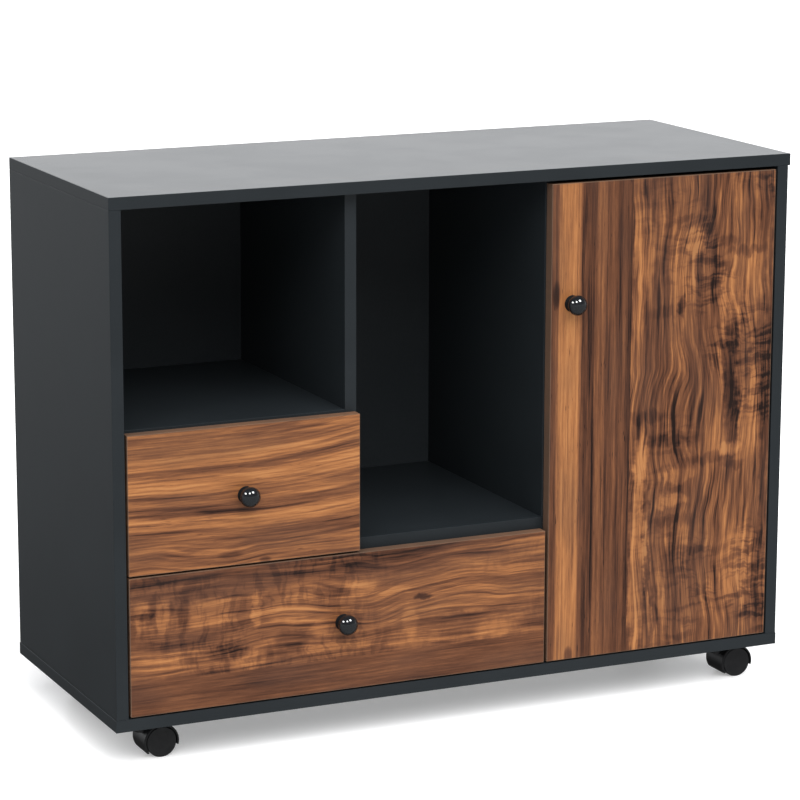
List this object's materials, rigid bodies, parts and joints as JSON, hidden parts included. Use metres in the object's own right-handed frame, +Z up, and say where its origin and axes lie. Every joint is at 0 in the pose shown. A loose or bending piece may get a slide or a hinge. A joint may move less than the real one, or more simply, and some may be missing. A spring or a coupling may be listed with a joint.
{
  "type": "mobile printer stand",
  "caption": "Low wide black cabinet on hooded twin-wheel casters, with open compartments, wood-print drawers and a wood-print door with round knobs.",
  "frame": {"origin": "on the floor, below the middle of the whole object's box", "axes": "+X to the right across the front, +Y from the front to the back, +Z up"},
  "size_m": [0.9038, 0.384, 0.687],
  "materials": {
    "melamine": "satin black melamine board",
    "hardboard": "black painted hardboard",
    "upper_front_print": "satin walnut-print melamine",
    "lower_front_print": "satin walnut-print melamine",
    "door_print": "satin walnut-print melamine",
    "knob_gloss": "high gloss black",
    "zinc": "die-cast zinc",
    "beech": "plain fluted beech",
    "runner_steel": "black powder coat",
    "screw_steel": "zinc plated",
    "nickel": "nickel plated",
    "roller_nylon": "white nylon",
    "caster_steel": "zinc plated",
    "caster_plastic": "moulded black nylon",
    "caster_wheel_plastic": "moulded black nylon"
  },
  "bodies": {
    "cabinet": {"adjustable_shelf": "melamine", "back_panel_left": "hardboard", "back_panel_right": "hardboard", "bottom_board": "melamine", "cabinet_runners": "runner_steel", "cabinet_screws": "screw_steel", "cam_bolts": "zinc", "cam_locks": "zinc", "caster_plates": "caster_steel", "caster_screws": "screw_steel", "dowels": "beech", "hinge_arms": "nickel", "hinge_plates": "nickel", "left_shelf": "melamine", "left_side_panel": "melamine", "main_divider": "melamine", "middle_shelf": "melamine", "right_side_panel": "melamine", "shelf_pins": "zinc", "top_board": "melamine", "upper_divider": "melamine"},
    "upper_drawer": {"upper_drawer_back": "melamine", "upper_drawer_bottom": "hardboard", "upper_drawer_fasteners": "zinc", "upper_drawer_front": "upper_front_print", "upper_drawer_knob": "knob_gloss", "upper_drawer_runners": "runner_steel", "upper_drawer_sides": "melamine"},
    "upper_front_rollers": {"upper_front_rollers": "roller_nylon"},
    "upper_rear_rollers": {"upper_rear_rollers": "roller_nylon"},
    "lower_drawer": {"lower_drawer_back": "melamine", "lower_drawer_bottom": "hardboard", "lower_drawer_fasteners": "zinc", "lower_drawer_front": "lower_front_print", "lower_drawer_knob": "knob_gloss", "lower_drawer_runners": "runner_steel", "lower_drawer_sides": "melamine"},
    "lower_front_rollers": {"lower_front_rollers": "roller_nylon"},
    "lower_rear_rollers": {"lower_rear_rollers": "roller_nylon"},
    "door": {"door_panel": "door_print", "door_knob": "knob_gloss", "hinge_cups": "nickel", "hinge_pins": "nickel", "door_screws": "screw_steel"},
    "front_left_swivel": {"front_left_caster_housing": "caster_plastic", "front_left_caster_axle": "caster_steel"},
    "front_left_wheel_a": {"front_left_caster_wheel_a": "caster_wheel_plastic"},
    "front_left_wheel_b": {"front_left_caster_wheel_b": "caster_wheel_plastic"},
    "front_right_swivel": {"front_right_caster_housing": "caster_plastic", "front_right_caster_axle": "caster_steel"},
    "front_right_wheel_a": {"front_right_caster_wheel_a": "caster_wheel_plastic"},
    "front_right_wheel_b": {"front_right_caster_wheel_b": "caster_wheel_plastic"},
    "rear_left_swivel": {"rear_left_caster_housing": "caster_plastic", "rear_left_caster_axle": "caster_steel"},
    "rear_left_wheel_a": {"rear_left_caster_wheel_a": "caster_wheel_plastic"},
    "rear_left_wheel_b": {"rear_left_caster_wheel_b": "caster_wheel_plastic"},
    "rear_right_swivel": {"rear_right_caster_housing": "caster_plastic", "rear_right_caster_axle": "caster_steel"},
    "rear_right_wheel_a": {"rear_right_caster_wheel_a": "caster_wheel_plastic"},
    "rear_right_wheel_b": {"rear_right_caster_wheel_b": "caster_wheel_plastic"}
  },
  "joints": [
    {"name": "door_hinge", "type": "hinge", "parent": "cabinet", "child": "door", "pos_m": [0.421, -0.1618, 0.3675], "axis": [0, 0, 1], "range_deg": [0, 95]},
    {"name": "upper_drawer_slide", "type": "slide", "parent": "cabinet", "child": "upper_drawer", "axis": [0, -1, 0], "range_m": [0, 0.22]},
    {"name": "upper_front_roller_spin", "type": "hinge", "parent": "cabinet", "child": "upper_front_rollers", "pos_m": [-0.2935, -0.136, 0.2718], "axis": [1, 0, 0], "continuous": true},
    {"name": "upper_rear_roller_spin", "type": "hinge", "parent": "upper_drawer", "child": "upper_rear_rollers", "pos_m": [-0.2935, 0.132, 0.2705], "axis": [1, 0, 0], "continuous": true},
    {"name": "lower_drawer_slide", "type": "slide", "parent": "cabinet", "child": "lower_drawer", "axis": [0, -1, 0], "range_m": [0, 0.22]},
    {"name": "lower_front_roller_spin", "type": "hinge", "parent": "cabinet", "child": "lower_front_rollers", "pos_m": [-0.16025, -0.136, 0.0868], "axis": [1, 0, 0], "continuous": true},
    {"name": "lower_rear_roller_spin", "type": "hinge", "parent": "lower_drawer", "child": "lower_rear_rollers", "pos_m": [-0.16025, 0.132, 0.0855], "axis": [1, 0, 0], "continuous": true},
    {"name": "front_left_swivel_turn", "type": "hinge", "parent": "cabinet", "child": "front_left_swivel", "pos_m": [-0.3995, -0.11, 0.045], "axis": [0, 0, 1], "continuous": true},
    {"name": "front_left_wheel_a_spin", "type": "hinge", "parent": "front_left_swivel", "child": "front_left_wheel_a", "pos_m": [-0.3815, -0.11, 0.019], "axis": [0, 1, 0], "continuous": true},
    {"name": "front_left_wheel_b_spin", "type": "hinge", "parent": "front_left_swivel", "child": "front_left_wheel_b", "pos_m": [-0.3815, -0.11, 0.019], "axis": [0, 1, 0], "continuous": true},
    {"name": "front_right_swivel_turn", "type": "hinge", "parent": "cabinet", "child": "front_right_swivel", "pos_m": [0.3965, -0.11, 0.045], "axis": [0, 0, 1], "continuous": true},
    {"name": "front_right_wheel_a_spin", "type": "hinge", "parent": "front_right_swivel", "child": "front_right_wheel_a", "pos_m": [0.4145, -0.11, 0.019], "axis": [0, 1, 0], "continuous": true},
    {"name": "front_right_wheel_b_spin", "type": "hinge", "parent": "front_right_swivel", "child": "front_right_wheel_b", "pos_m": [0.4145, -0.11, 0.019], "axis": [0, 1, 0], "continuous": true},
    {"name": "rear_left_swivel_turn", "type": "hinge", "parent": "cabinet", "child": "rear_left_swivel", "pos_m": [-0.3995, 0.134, 0.045], "axis": [0, 0, 1], "continuous": true},
    {"name": "rear_left_wheel_a_spin", "type": "hinge", "parent": "rear_left_swivel", "child": "rear_left_wheel_a", "pos_m": [-0.3815, 0.134, 0.019], "axis": [0, 1, 0], "continuous": true},
    {"name": "rear_left_wheel_b_spin", "type": "hinge", "parent": "rear_left_swivel", "child": "rear_left_wheel_b", "pos_m": [-0.3815, 0.134, 0.019], "axis": [0, 1, 0], "continuous": true},
    {"name": "rear_right_swivel_turn", "type": "hinge", "parent": "cabinet", "child": "rear_right_swivel", "pos_m": [0.3965, 0.134, 0.045], "axis": [0, 0, 1], "continuous": true},
    {"name": "rear_right_wheel_a_spin", "type": "hinge", "parent": "rear_right_swivel", "child": "rear_right_wheel_a", "pos_m": [0.4145, 0.134, 0.019], "axis": [0, 1, 0], "continuous": true},
    {"name": "rear_right_wheel_b_spin", "type": "hinge", "parent": "rear_right_swivel", "child": "rear_right_wheel_b", "pos_m": [0.4145, 0.134, 0.019], "axis": [0, 1, 0], "continuous": true}
  ],
  "couplings": [
    {"joint": "upper_front_roller_spin", "follows": "upper_drawer_slide", "rad_per_m": 111.11},
    {"joint": "upper_rear_roller_spin", "follows": "upper_drawer_slide", "rad_per_m": 111.11},
    {"joint": "lower_front_roller_spin", "follows": "lower_drawer_slide", "rad_per_m": 111.11},
    {"joint": "lower_rear_roller_spin", "follows": "lower_drawer_slide", "rad_per_m": 111.11}
  ]
}
